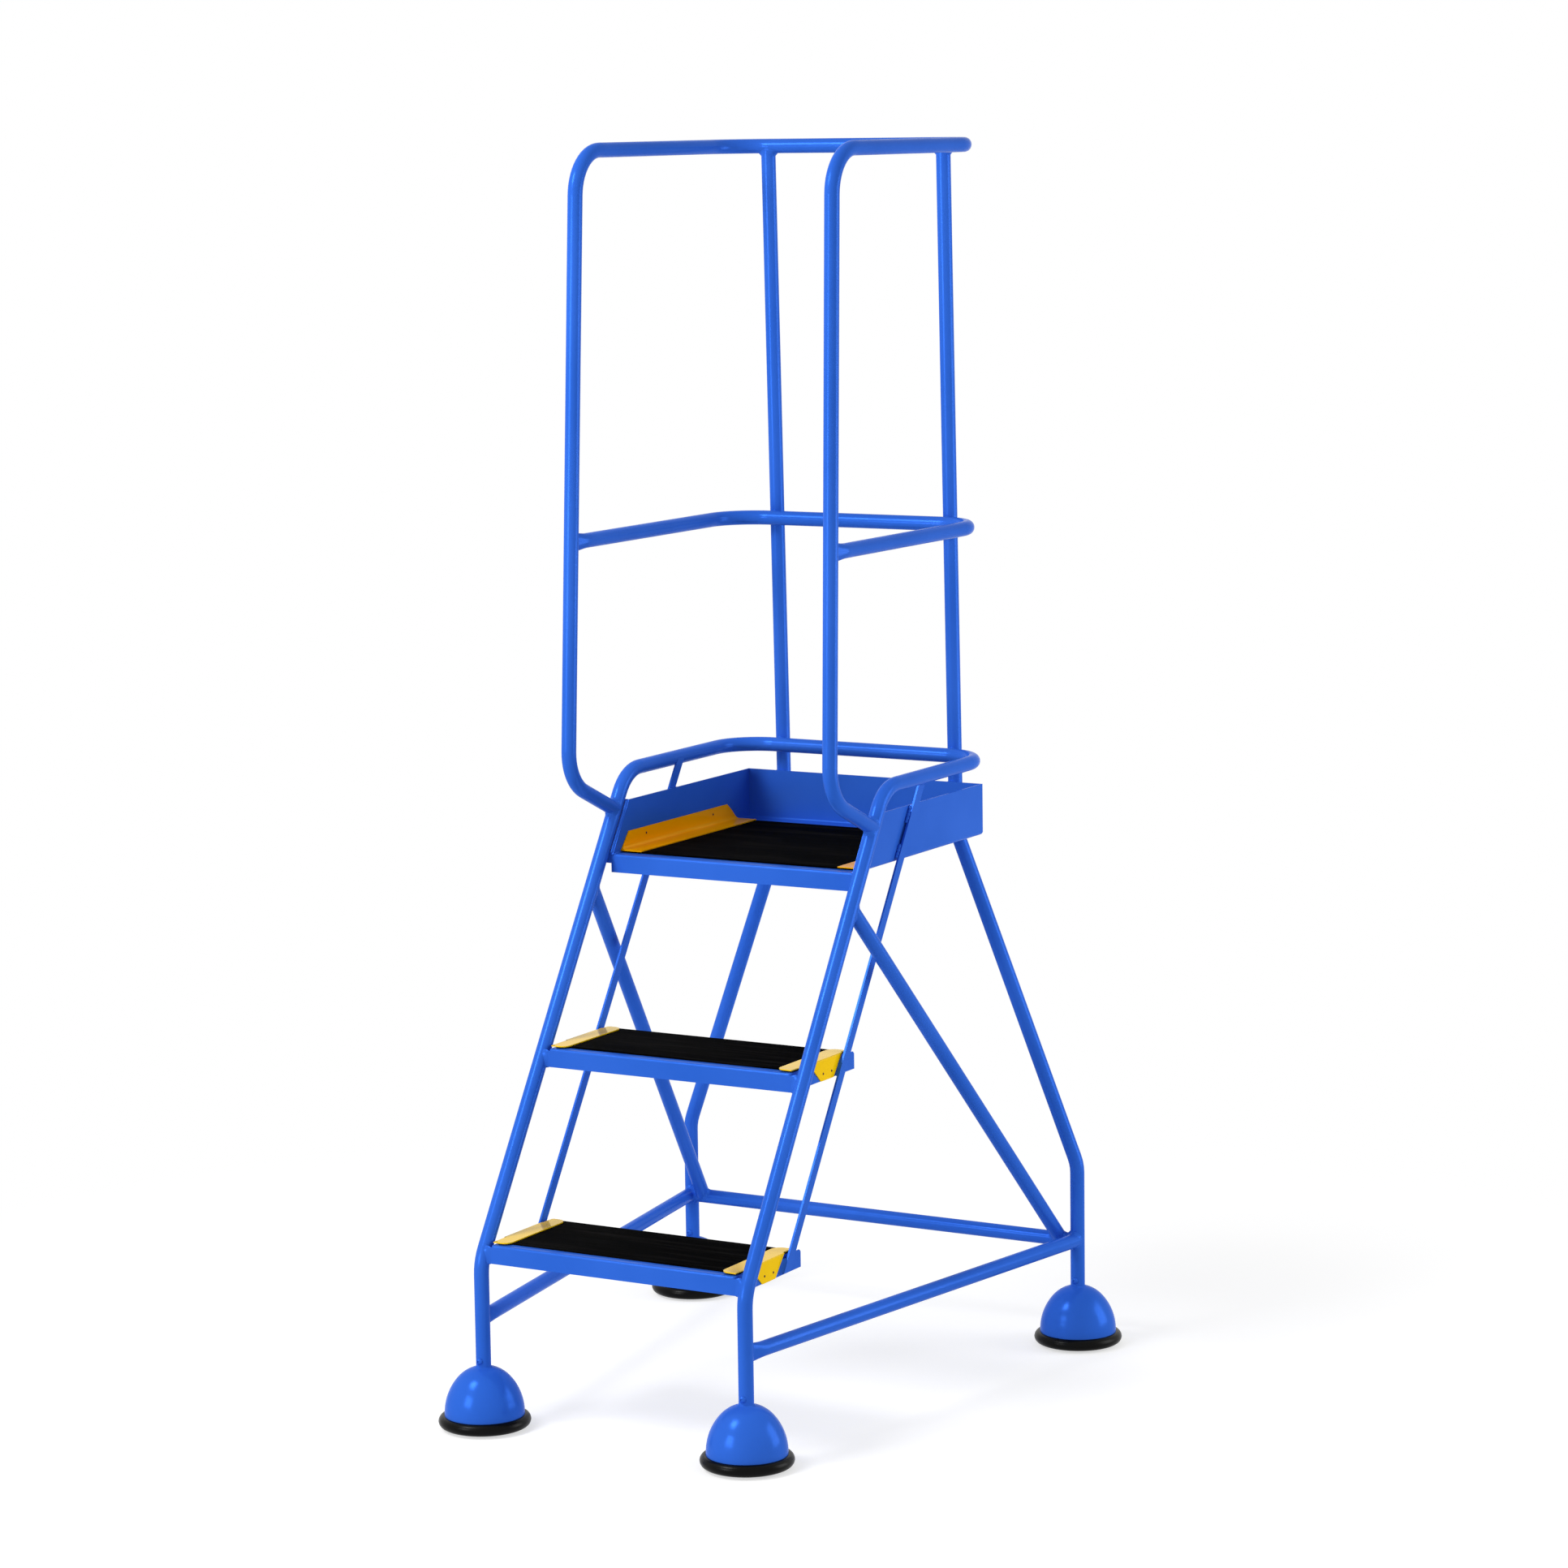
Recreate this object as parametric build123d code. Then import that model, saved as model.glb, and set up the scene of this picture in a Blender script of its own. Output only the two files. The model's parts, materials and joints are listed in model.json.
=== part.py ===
from build123d import *
import os
from math import acos, asin, atan2, cos, degrees, pi, sin, sqrt

# Mobile warehouse step: a welded tube frame with two treads, a guarded platform and four dome feet.
# X runs across the steps, Y from the front to the rear and Z up. The origin is on the floor,
# midway between the feet. Lengths are in millimetres.

# Tubes
tube_od = 21.3
tube_wall = 2.0
bend_radius = 65.0
weld_gap = 0.1
crushed_height = 28.0
crushed_width = 9.0
crushed_length = 40.0
crushed_steps = 5

# Plan of the feet
leg_base = 775.0
front_leg_x = 213.0
rear_leg_x = 333.5
front_leg_y = -leg_base / 2
rear_leg_y = leg_base / 2

# Heights above the floor, with the sprung castors holding the rubber rings clear of it
ring_lift = 3.0
first_rise = 263.0
rise = 250.0
platform_rise = 252.0
going = 160.0
lower_bend_z = ring_lift + 236.0
base_rail_z = ring_lift + 155.0
low_rail_z = ring_lift + 876.5
mid_rail_z = ring_lift + 1219.5
top_rail_z = ring_lift + 1769.5

# Guard rail, with lengths measured back from the front legs
top_rail_x = 206.0
mid_rail_x = 210.5
top_front_y = front_leg_y + 295.0
top_rear_y = front_leg_y + 733.5
post_foot_y = front_leg_y + 253.0
post_foot_z = ring_lift + 879.0
handrail_joint_z = ring_lift + 823.0

# Rear uprights
upright_x = 146.0
upright_lean = 0.022
upright_bend_z = ring_lift + 762.0
splay_end_z = ring_lift + 269.0
touch_gap = 0.2

# Rear frame
cross_rail_setback = 6.0
brace_top_z = ring_lift + 719.0
brace_foot_x = 309.0

# Treads and platform
sheet = 2.0
fold_radius = 3.0
flange_drop = 26.5
tread_half = 197.7
tread_corner_radius = 5.0
tread_front_y = front_leg_y + 1.3
flange_tab_x = 203.0
tread_wing = 20.0
wing_top_drop = 1.5
wing_corner = 3.0
platform_half = 199.0
platform_front_y = front_leg_y + 345.5
platform_rear_y = front_leg_y + 739.3
kick_height = 73.8
kick_fold_radius = 5.0
flange_half = 201.5
weld_strip_reach = 2.0
weld_strip_overlap = 0.5
weld_strip_x = 206.0
rear_pad_width = 12.0

# Rubber mats
mat_thickness = 2.5
tread_mat_side_gap = 3.0
platform_mat_side_gap = 5.2
tread_mat_setback = 16.0
tread_mat_rear_gap = 1.0
platform_mat_setback = 21.0
platform_mat_rear_y = front_leg_y + 697.0
mat_edge_round = 1.0
pressed_depth = 0.1

# Flat tie bars
bar_x = 202.2
bar_width = 15.0
bar_thickness = 3.0
bar_low_y = front_leg_y + 170.5
bar_low_z = ring_lift + 300.0
bar_slope = 0.654
bar_foot_z = ring_lift + 238.0
bar_pad_length = 24.0

# Yellow clips and guards
clip_sheet = 1.5
clip_inner_x = 171.2
clip_front = 5.0
clip_rear = 158.0
clip_nose_round = 12.0
clip_tail_round = 14.0
clip_tip_round = 4.0
ear_top_front = 38.0
ear_bottom_front = 71.0
ear_bottom_rear = 106.5
ear_top_rear = 132.5
ear_setback = (0.0, 11.0)
ear_rivets = (77.0, 101.0)
ear_rivet_rise = 10.0
guard_inner_x = 162.0
guard_front_y = front_leg_y + 364.0
guard_rear_y = front_leg_y + 696.5
guard_height = 26.0
guard_front_slope = 21.8
guard_rear_slope = 29.0
guard_rear_knee = (15.7, 15.7)
guard_fold_radius = 5.0
guard_rivets = (front_leg_y + 433.8, front_leg_y + 625.3)
guard_rivet_rise = 16.5
rivet_head_radius = 1.8
rivet_head_height = 0.7
rivet_head_round = 0.5
rivet_shank_radius = 1.2

# Dome feet
dome_radius = 56.4
dome_height = 67.0
dome_crown_radius = 50.0
dome_sheet = 2.0
dome_equator_z = ring_lift + 19.0
dome_top_z = ring_lift + 85.0
ring_radius = 56.6
ring_section = 8.4
groove_depth_z = ring_lift + 6.5
screw_z = ring_lift + 94.5
screw_head_radius = 5.0
screw_head_height = 3.2
screw_head_round = 2.9
screw_radius = 2.45

# Sprung castors
fit_gap = 0.05
end_play = 0.3
wheel_radius = 19.0
wheel_width = 12.0
wheel_round = 3.0
wheel_dish_radius = 13.3
wheel_dish_depth = 2.0
hub_radius = 6.0
castor_trail = 15.0
axle_radius = 3.0
axle_cap_radius = 4.5
axle_cap_thickness = 1.5
fork_inner = 7.0
fork_sheet = 2.0
fork_eye_radius = 6.0
crown_z = 44.0
crown_thickness = 3.0
crown_rear = 22.0
crown_front = -9.0
boss_radius = 10.0
boss_top_z = 56.0
pivot_radius = 4.0
pivot_head_radius = 6.0
pivot_head_height = 2.0
stem_radius = 5.0
shoulder_radius = 8.0
shoulder_z = boss_top_z + end_play
shoulder_height = 2.7
piston_radius = 6.2
chamber_radius = 6.5
chamber_z = 94.0
chamber_top_z = 146.0
piston_z = chamber_z + end_play
piston_height = 3.7
guide_radius = 3.2
guide_top_z = 128.0
housing_foot_z = 66.0
housing_top_z = 150.0
housing_flange_radius = 15.0
housing_flange_z = 81.0
housing_flange_height = 3.2
spring_radius = 5.0
spring_wire = 1.6
spring_turns = 9

tube_r = tube_od / 2
bore_r = tube_r - tube_wall
stringer_slope = going / rise
tread_walk_z = [ring_lift + first_rise, ring_lift + first_rise + rise]
walk_z = tread_walk_z + [tread_walk_z[1] + platform_rise]
steel_z = [height - mat_thickness for height in walk_z]
nodes = {}


def stringer_y(z):
    return front_leg_y + (z - lower_bend_z) * stringer_slope


def upright_y(z):
    return top_rear_y + (top_rail_z - z) * upright_lean


def mirrored_loop(half):
    return half + [(-x, y, z) for x, y, z in reversed(half)]


def bent_path(points):
    if len(points) == 2:
        return Line(*points)
    return FilletPolyline(*points, radius=bend_radius)


def swept(points, outer, inner=0.0):
    path = bent_path(points)
    section = Circle(outer)
    if inner:
        section -= Circle(inner)
    return sweep(Plane(path @ 0, z_dir=path % 0) * section, path=path)


def tube(points):
    return swept(points, tube_r, bore_r)


def cope(points):
    return swept(points, tube_r + weld_gap)


def crushed_tube(mate, straight):
    # The last stretch of a tube is crushed from a circle to an upright oval where it meets its mate.
    # Both half widths ease into the round tube by the share 3s^2 - 2s^3 of the way s.
    ahead = (Vector(*straight) - Vector(*mate)).normalized()
    across = ahead.cross(Vector(0, 0, 1))
    outer = []
    inner = []
    for step in range(crushed_steps + 1):
        way = step / crushed_steps
        eased = way * way * (3 - 2 * way)
        half_width = crushed_width / 2 + (tube_r - crushed_width / 2) * eased
        half_height = crushed_height / 2 + (tube_r - crushed_height / 2) * eased
        station = Plane(Vector(*mate) + ahead * crushed_length * way, x_dir=across, z_dir=ahead)
        if step == crushed_steps:
            outer.append(station * Circle(tube_r))
            inner.append(station * Circle(bore_r))
        else:
            outer.append(station * Ellipse(half_width, half_height))
            inner.append(station * Ellipse(half_width - tube_wall, half_height - tube_wall))
    return loft(outer) - loft(inner), Vector(*mate) + ahead * crushed_length


def cylinder(radius, low, high, x=0.0, y=0.0):
    return Pos(x, y, low) * Cylinder(radius, high - low, align=(Align.CENTER, Align.CENTER, Align.MIN))


def block(low, high):
    size = [b - a for a, b in zip(low, high)]
    return Pos(*low) * Box(*size, align=(Align.MIN, Align.MIN, Align.MIN))


def side_plate(outline, x, thickness):
    # An outline of (y, z) points, made a plate that is thick towards +X.
    face = make_face(Polyline(*[(x, y, z) for y, z in outline], close=True))
    return extrude(face, amount=thickness, dir=(1, 0, 0))


def cross_pin(radius, x_low, x_high, y, z):
    return Pos(x_low, y, z) * Rot(0, 90, 0) * Cylinder(
        radius, x_high - x_low, align=(Align.CENTER, Align.CENTER, Align.MIN)
    )


def add_pair(name, right_part):
    nodes[name + "_right"] = right_part
    nodes[name + "_left"] = mirror(right_part, about=Plane.YZ)


# Bent tube routes
stringer_half = [
    (front_leg_x, front_leg_y, dome_top_z + fit_gap),
    (front_leg_x, front_leg_y, lower_bend_z),
    (front_leg_x, stringer_y(low_rail_z), low_rail_z),
    (front_leg_x, upright_y(low_rail_z) - tube_od - touch_gap, low_rail_z),
]
handrail_half = [
    (front_leg_x, stringer_y(handrail_joint_z), handrail_joint_z),
    (front_leg_x, post_foot_y, post_foot_z),
    (top_rail_x, top_front_y, top_rail_z),
    (top_rail_x, top_rear_y, top_rail_z),
]
upright_route = [
    (upright_x, top_rear_y, top_rail_z),
    (upright_x, upright_y(upright_bend_z), upright_bend_z),
    (rear_leg_x, rear_leg_y, splay_end_z),
    (rear_leg_x, rear_leg_y, dome_top_z + fit_gap),
]
base_rail_ends = [(front_leg_x, front_leg_y, base_rail_z), (rear_leg_x, rear_leg_y, base_rail_z)]
cross_rail_y = rear_leg_y - cross_rail_setback
cross_rail_ends = [(-rear_leg_x, cross_rail_y, base_rail_z), (rear_leg_x, cross_rail_y, base_rail_z)]
brace_ends = [
    (front_leg_x, stringer_y(brace_top_z), brace_top_z),
    (brace_foot_x, cross_rail_y, base_rail_z),
]
post_share = (mid_rail_z - post_foot_z) / (top_rail_z - post_foot_z)
mid_front_y = post_foot_y + (top_front_y - post_foot_y) * post_share
mid_rail_seat = (mid_rail_x, mid_front_y, mid_rail_z)
mid_rail_corner = (mid_rail_x, upright_y(mid_rail_z) - tube_od - touch_gap, mid_rail_z)

stringer_cope = cope(mirrored_loop(stringer_half))
handrail_cope = cope(mirrored_loop(handrail_half))
upright_cope = cope(upright_route)
base_rail_cope = cope(base_rail_ends)
cross_rail_cope = cope(cross_rail_ends)


def leg_screw_hole(x, y):
    return Pos(x, y, screw_z) * Rot(90, 0, 0) * Cylinder(
        screw_radius + fit_gap, 2 * tube_r, align=(Align.CENTER, Align.CENTER, Align.MIN)
    )


# Frame tubes
front_holes = leg_screw_hole(front_leg_x, front_leg_y) + leg_screw_hole(-front_leg_x, front_leg_y)
nodes["stringer_loop"] = tube(mirrored_loop(stringer_half)) - front_holes
nodes["handrail_loop"] = tube(mirrored_loop(handrail_half)) - stringer_cope

crushed_right, mid_start = crushed_tube(mid_rail_seat, mid_rail_corner)
mid_run = tube(mirrored_loop([tuple(mid_start), mid_rail_corner]))
crushed_left = mirror(crushed_right, about=Plane.YZ)
nodes["mid_rail"] = mid_run + crushed_right + crushed_left - handrail_cope

rear_hole = leg_screw_hole(rear_leg_x, rear_leg_y)
add_pair("rear_upright", tube(upright_route) - handrail_cope - rear_hole)

crushed_end, rail_start = crushed_tube(*base_rail_ends)
base_rail = crushed_end + tube([tuple(rail_start), base_rail_ends[1]])
add_pair("base_rail", base_rail - stringer_cope - upright_cope)

rear_joint_cope = base_rail_cope + upright_cope
cross_rail = tube(cross_rail_ends) - rear_joint_cope - mirror(rear_joint_cope, about=Plane.YZ)
nodes["rear_cross_rail"] = cross_rail.solids().sort_by(SortBy.VOLUME)[-1]
add_pair("brace", tube(brace_ends) - stringer_cope - cross_rail_cope)


def rounded_front(low, high, radius):
    # A block whose two upright front edges are rounded.
    body = block(low, high)
    return fillet(body.edges().filter_by(Axis.Z).sort_by(Axis.Y)[:2], radius)


def bar_y(z):
    return bar_low_y + (z - bar_low_z) * bar_slope


def bar_piece(x, thickness, z_low, z_high, front_share=1.0):
    # A length of the sloping bar. front_share is how much of its front half is kept.
    half = bar_width / 2 * sqrt(1 + bar_slope**2)
    outline = [
        (bar_y(z_low) - half * front_share, z_low),
        (bar_y(z_low) + half, z_low),
        (bar_y(z_high) + half, z_high),
        (bar_y(z_high) - half * front_share, z_high),
    ]
    return side_plate(outline, x, thickness)


# Tread pans: a floor with folded-down edges, whose sides run on behind as wings. Tabs of the front
# flange reach the stringers and a weld pad on each side reaches the tie bar.
def tread_pan(front, top):
    outer = rounded_front(
        (-tread_half, front, top - flange_drop),
        (tread_half, front + going, top),
        tread_corner_radius,
    )
    folds = outer.faces().sort_by(Axis.Z)[-1].edges()
    outer = fillet(folds, fold_radius)
    hollow = rounded_front(
        (sheet - tread_half, front + sheet, top - flange_drop - sheet),
        (tread_half - sheet, front + going - sheet, top - sheet),
        tread_corner_radius - sheet,
    )
    pan = outer - hollow
    wing_front = front + going - sheet
    wing_rear = front + going + tread_wing
    wing_outline = [
        (wing_front, top - flange_drop),
        (wing_rear, top - flange_drop),
        (wing_rear, top - wing_top_drop - wing_corner),
        (wing_rear - wing_corner, top - wing_top_drop),
        (wing_front, top - wing_top_drop),
    ]
    side = side_plate(wing_outline, tread_half - sheet, sheet)
    tab = block(
        (tread_half - tread_corner_radius, front, top - flange_drop),
        (flange_tab_x, front + sheet, top - fold_radius),
    )
    side += (tab - stringer_cope).solids().sort_by(Axis.X)[0]
    pad_foot_z = max(top - flange_drop, bar_foot_z)
    pad_thickness = bar_x - weld_gap - tread_half
    side += bar_piece(tread_half, pad_thickness, pad_foot_z, top - fold_radius, front_share=0.0)
    return pan + side + mirror(side, about=Plane.YZ)


def rounded_mat(low, high, free_half):
    # Beyond free_half the mat is pressed down a little by the yellow plates that hold it.
    mat = block(low, high)
    mat = fillet(mat.faces().sort_by(Axis.Z)[-1].edges(), mat_edge_round)
    pressed = block(
        (free_half, low[1] - sheet, high[2] - pressed_depth),
        (high[0] + sheet, high[1] + sheet, high[2] + sheet),
    )
    return mat - pressed - mirror(pressed, about=Plane.YZ)


def nearest_edge(shape, edge):
    # Finds an edge again after another edge of the shape was rounded.
    return shape.edges().filter_by(Axis.Z).sort_by(lambda e: (e.center() - edge.center()).length)[0]


def tread_clip(front, top, setback):
    # A yellow plate on the mat, with an ear folded down over the side of the pan.
    outer_x = tread_half + clip_sheet
    inside_x = tread_half - sheet
    ear_front = front + ear_top_front + setback
    ear_rear = front + ear_top_rear + setback
    top_outline = [
        (inside_x, front + clip_front),
        (clip_inner_x, front + clip_front),
        (clip_inner_x, front + clip_rear),
        (inside_x, front + clip_rear),
        (inside_x, ear_rear),
        (outer_x, ear_rear),
        (outer_x, ear_front),
        (inside_x, ear_front),
    ]
    plate_z = top + mat_thickness
    plate = extrude(
        make_face(Polyline(*[(x, y, plate_z) for x, y in top_outline], close=True)),
        amount=clip_sheet,
        dir=(0, 0, 1),
    )
    upright = plate.edges().filter_by(Axis.Z)
    nose = upright.sort_by(lambda e: e.center().Y + e.center().X)[0]
    tail, tip = upright.sort_by(Axis.Y)[-2:].sort_by(Axis.X)
    plate = fillet(tail, clip_tail_round)
    plate = fillet(nearest_edge(plate, tip), clip_tip_round)
    plate = fillet(nearest_edge(plate, nose), clip_nose_round)
    ear_outline = [
        (ear_front, plate_z + clip_sheet),
        (front + ear_bottom_front + setback, top - flange_drop),
        (front + ear_bottom_rear + setback, top - flange_drop),
        (ear_rear, plate_z + clip_sheet),
    ]
    ear = side_plate(ear_outline, tread_half, clip_sheet)
    clip = plate + ear
    fold = clip.edges().filter_by(Axis.Y).sort_by(lambda e: e.center().X + e.center().Z)[-1]
    return fillet(fold, clip_sheet - fit_gap)


def rivet(head_x, length, y, z):
    # The head's flat side is at head_x, and the shank runs from it towards -X.
    head = cross_pin(rivet_head_radius, head_x, head_x + rivet_head_height, y, z)
    rim = head.edges().sort_by(Axis.X)[-1]
    head = fillet(rim, rivet_head_round)
    return head + cross_pin(rivet_shank_radius, head_x - length, head_x, y, z)


rivets = []
for level in (0, 1):
    front = tread_front_y + going * level
    top = steel_z[level]
    pan = tread_pan(front, top)
    clip = tread_clip(front, top, ear_setback[level])
    for along in ear_rivets:
        place = (front + along + ear_setback[level], top - flange_drop + ear_rivet_rise)
        hole = cross_pin(rivet_shank_radius + fit_gap, -tread_half * 2, tread_half * 2, *place)
        pan -= hole
        clip -= hole
        head_x = tread_half + clip_sheet + fit_gap
        rivets.append(rivet(head_x, clip_sheet + sheet + fit_gap, *place))
    nodes[f"tread_{level + 1}"] = pan
    add_pair(f"tread_clip_{level + 1}", clip)
    nodes[f"tread_mat_{level + 1}"] = rounded_mat(
        (tread_mat_side_gap - tread_half, front + tread_mat_setback, top),
        (tread_half - tread_mat_side_gap, front + going - tread_mat_rear_gap, top + mat_thickness),
        clip_inner_x - touch_gap,
    )

# Platform tray: a floor, a front flange folded down and kick boards folded up on three sides
floor_z = steel_z[2]
floor_under = floor_z - sheet
kick_top = floor_z + kick_height


def folded_up(low, high, radius):
    # A block whose lower edges are rounded at the sides and the rear.
    body = block(low, high)
    under_edges = body.faces().sort_by(Axis.Z)[0].edges().sort_by(Axis.Y)[1:]
    return fillet(under_edges, radius)


tray_outer = folded_up(
    (-platform_half, platform_front_y, floor_under),
    (platform_half, platform_rear_y, kick_top),
    kick_fold_radius,
)
tray_hollow = folded_up(
    (sheet - platform_half, platform_front_y - sheet, floor_z),
    (platform_half - sheet, platform_rear_y - sheet, kick_top + sheet),
    kick_fold_radius - sheet,
)
floor_half = platform_half - kick_fold_radius
floor_rear_y = platform_rear_y - kick_fold_radius
floor_hole = block(
    (-floor_half, platform_front_y - sheet, floor_under - sheet),
    (floor_half, floor_rear_y, floor_z + sheet),
)
slant_end = platform_front_y + kick_height * stringer_slope
front_slant = side_plate(
    [
        (platform_front_y - sheet, floor_z),
        (platform_front_y, floor_z),
        (slant_end, kick_top),
        (slant_end, kick_top + sheet),
        (platform_front_y - sheet, kick_top + sheet),
    ],
    -platform_half - sheet,
    2 * (platform_half + sheet),
)
kick_boards = tray_outer - tray_hollow - floor_hole - front_slant
flange_foot_z = floor_z - flange_drop
floor_sheet = block((-flange_half, platform_front_y, flange_foot_z), (flange_half, floor_rear_y, floor_z))
front_fold = floor_sheet.faces().sort_by(Axis.Z)[-1].edges().sort_by(Axis.Y)[0]
floor_sheet = fillet(front_fold, fold_radius)
behind_flange_y = platform_front_y + sheet
floor_sheet -= block(
    (-flange_half - sheet, behind_flange_y, flange_foot_z - sheet),
    (flange_half + sheet, platform_rear_y, floor_under),
)
side_cut = block(
    (floor_half, behind_flange_y, floor_under - sheet),
    (flange_half + sheet, platform_rear_y, floor_z + sheet),
)
floor_sheet = floor_sheet - side_cut - mirror(side_cut, about=Plane.YZ)
tray = kick_boards + floor_sheet

# A weld strip fills the slot between each side kick board and the stringer it runs along
strip_outline = [
    (platform_front_y - weld_strip_reach, floor_z),
    (platform_front_y + weld_strip_overlap, floor_z),
    (slant_end + weld_strip_overlap, kick_top),
    (slant_end - weld_strip_reach, kick_top),
]
strip_side = platform_half - sheet
strip = side_plate(strip_outline, strip_side, weld_strip_x - strip_side) - stringer_cope
strip = strip.solids().sort_by(Axis.X)[0]
tray = tray + strip + mirror(strip, about=Plane.YZ)


# Weld pads carry the tray on the tie bars and the rear uprights, and ears of its front flange reach
# the stringers
pad_thickness = bar_x - weld_gap - platform_half
pads = bar_piece(platform_half, pad_thickness, kick_top - bar_pad_length, kick_top)
low_pad_z = floor_under + kick_fold_radius
pads += bar_piece(platform_half, pad_thickness, low_pad_z, floor_under + bar_pad_length)
ear = block(
    (platform_half, platform_front_y, floor_z - flange_drop / 2),
    (front_leg_x, behind_flange_y, floor_z),
)
rear_pad = block(
    (upright_x - rear_pad_width / 2, platform_rear_y, kick_top - bar_pad_length),
    (upright_x + rear_pad_width / 2, upright_y(kick_top) - tube_r - weld_gap, kick_top),
)
welds = pads + rear_pad + (ear - stringer_cope).solids().sort_by(Axis.X)[0]
tray = tray + welds + mirror(welds, about=Plane.YZ)


def platform_guard():
    # A yellow angle: one leg lies on the mat, the other stands against the inside of the kick board.
    wall_x = platform_half - sheet - touch_gap
    plate_z = walk_z[2]
    lip = block((guard_inner_x, guard_front_y, plate_z), (wall_x, guard_rear_y, plate_z + clip_sheet))
    knee_y, knee_z = guard_rear_knee
    outline = [
        (guard_front_y, plate_z),
        (guard_front_y + guard_front_slope, plate_z + guard_height),
        (guard_rear_y - guard_rear_slope, plate_z + guard_height),
        (guard_rear_y - knee_y, plate_z + knee_z),
        (guard_rear_y, plate_z),
    ]
    angle = lip + side_plate(outline, wall_x - clip_sheet, clip_sheet)
    inner_x = wall_x - clip_sheet
    fold = angle.edges().filter_by(Axis.Y).sort_by(
        lambda e: abs(e.center().X - inner_x) + abs(e.center().Z - plate_z - clip_sheet)
    )[0]
    return fillet(fold, guard_fold_radius)


# The guards' rivets are blind: they end inside the kick board's sheet
guard = platform_guard()
guard_face = platform_half - sheet - touch_gap - clip_sheet
guard_grip = clip_sheet + touch_gap + sheet / 2
for y in guard_rivets:
    place = (y, walk_z[2] + guard_rivet_rise)
    hole = cross_pin(rivet_shank_radius + fit_gap, guard_face - sheet, guard_face + guard_grip, *place)
    tray = tray - hole - mirror(hole, about=Plane.YZ)
    guard -= hole
    rivets.append(rivet(-guard_face + fit_gap, guard_grip, *place))
nodes["platform_tray"] = tray
add_pair("platform_guard", guard)
nodes["platform_mat"] = rounded_mat(
    (platform_mat_side_gap - platform_half, platform_front_y + platform_mat_setback, floor_z),
    (platform_half - platform_mat_side_gap, platform_mat_rear_y, floor_z + mat_thickness),
    guard_inner_x - touch_gap,
)
left_rivets = [mirror(one, about=Plane.YZ) for one in rivets]
nodes["clip_rivets"] = Compound(children=[one.solid() for one in rivets + left_rivets])

# Tie bars from the first tread's weld pads, past the second tread and the platform, to the low rail
tie_bar = bar_piece(bar_x, bar_thickness, bar_foot_z, low_rail_z) - stringer_cope
add_pair("tie_bar", tie_bar.solids().sort_by(SortBy.VOLUME)[-1])


# Dome feet: a flat side arc from the equator runs tangent into a tighter crown arc
crown_centre_z = dome_equator_z + dome_height - dome_crown_radius
dome_side_radius = (
    dome_radius**2 + (dome_height - dome_crown_radius) ** 2 - dome_crown_radius**2
) / (2 * (dome_radius - dome_crown_radius))
side_centre_x = dome_radius - dome_side_radius
arc_join = degrees(atan2(crown_centre_z - dome_equator_z, -side_centre_x))


def dome_wall(inset, end_angle):
    side = CenterArc((side_centre_x, dome_equator_z), dome_side_radius - inset, 0, arc_join)
    crown = CenterArc((0, crown_centre_z), dome_crown_radius - inset, arc_join, end_angle - arc_join)
    return side, crown


def dome_shell():
    skirt_z = groove_depth_z + fit_gap
    hole_r = bore_r + weld_gap
    inner_crown = dome_crown_radius - dome_sheet
    top_angle = degrees(asin((dome_top_z - crown_centre_z) / dome_crown_radius))
    outer_side, outer_crown = dome_wall(0, top_angle)
    inner_side, inner_top = dome_wall(dome_sheet, degrees(acos(hole_r / inner_crown)))
    section = make_face(
        [
            outer_side,
            outer_crown,
            Line(outer_crown @ 1, (hole_r, dome_top_z)),
            Line((hole_r, dome_top_z), inner_top @ 1),
            inner_top,
            inner_side,
            Line(inner_side @ 0, (dome_radius - dome_sheet, skirt_z)),
            Line((dome_radius - dome_sheet, skirt_z), (dome_radius, skirt_z)),
            Line((dome_radius, skirt_z), outer_side @ 0),
        ]
    )
    return revolve(Plane.XZ * section, axis=Axis.Z)


def rubber_ring():
    ring = Pos(0, 0, ring_lift + ring_section) * Torus(ring_radius, ring_section)
    groove = cylinder(dome_radius + fit_gap, groove_depth_z, dome_top_z)
    groove -= cylinder(dome_radius - dome_sheet - fit_gap, groove_depth_z, dome_top_z)
    return ring - groove


def clamp_screw():
    head = Pos(0, -tube_r - fit_gap, screw_z) * Rot(90, 0, 0) * Cylinder(
        screw_head_radius, screw_head_height, align=(Align.CENTER, Align.CENTER, Align.MIN)
    )
    head = fillet(head.edges().sort_by(Axis.Y)[0], screw_head_round)
    shank_end = chamber_radius + touch_gap
    shank = Pos(0, -shank_end, screw_z) * Rot(90, 0, 0) * Cylinder(
        screw_radius, tube_r + fit_gap - shank_end, align=(Align.CENTER, Align.CENTER, Align.MIN)
    )
    return head + shank


def castor_housing():
    # A plug in the leg: a guide bush below, a spring chamber above and a flange that holds the dome.
    body = cylinder(bore_r - fit_gap, housing_foot_z, housing_top_z)
    body += cylinder(housing_flange_radius, housing_flange_z, housing_flange_z + housing_flange_height)
    body -= cylinder(stem_radius + fit_gap, housing_foot_z, chamber_z)
    body -= cylinder(chamber_radius, chamber_z, chamber_top_z)
    return body - leg_screw_hole(0, 0)


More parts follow.
